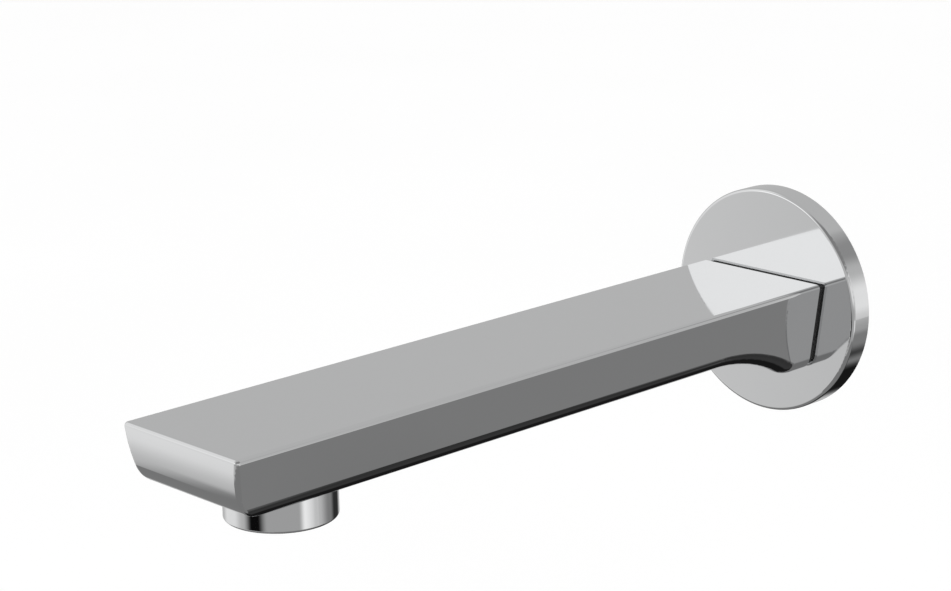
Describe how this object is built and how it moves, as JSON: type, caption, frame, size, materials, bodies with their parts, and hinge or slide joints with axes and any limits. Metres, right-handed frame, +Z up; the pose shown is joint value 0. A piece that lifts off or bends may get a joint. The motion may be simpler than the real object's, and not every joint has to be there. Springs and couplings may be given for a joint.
{
  "type": "wall-mounted bath spout",
  "caption": "Flat straight bath spout on a round wall flange, with a threaded inlet, a hollow body and a round outlet collar under its tip.",
  "frame": {"origin": "centre of the inlet on the wall plane", "axes": "+Y into the wall along the inlet thread, spout pointing along -Y, +Z up, X = 0 the plane of symmetry"},
  "size_m": [0.06, 0.2125, 0.06],
  "materials": {
    "body_chrome": "mirror-polished chrome plating on cast brass",
    "flange_chrome": "mirror-polished chrome plating on pressed brass",
    "collar_chrome": "mirror-polished chrome plating on turned brass",
    "adapter_brass": "bare turned brass",
    "screw_steel": "plain stainless steel",
    "screen_steel": "plain stainless steel",
    "insert_plastic": "moulded acetal, matt",
    "seal_rubber": "matt black rubber sheet",
    "o_ring_rubber": "smooth black rubber",
    "washer_rubber": "matt black rubber sheet",
    "gasket_foam": "closed-cell foam, matt dark grey"
  },
  "bodies": {
    "root": {"spout_body": "body_chrome", "wall_flange": "flange_chrome", "flange_gasket": "gasket_foam", "body_seal": "seal_rubber", "inlet_adapter": "adapter_brass", "adapter_o_rings": "o_ring_rubber", "grub_screw": "screw_steel", "aerator_housing": "collar_chrome", "aerator_cartridge": "insert_plastic", "aerator_screen": "screen_steel", "flow_straightener": "insert_plastic", "aerator_washer": "washer_rubber"}
  },
  "joints": []
}
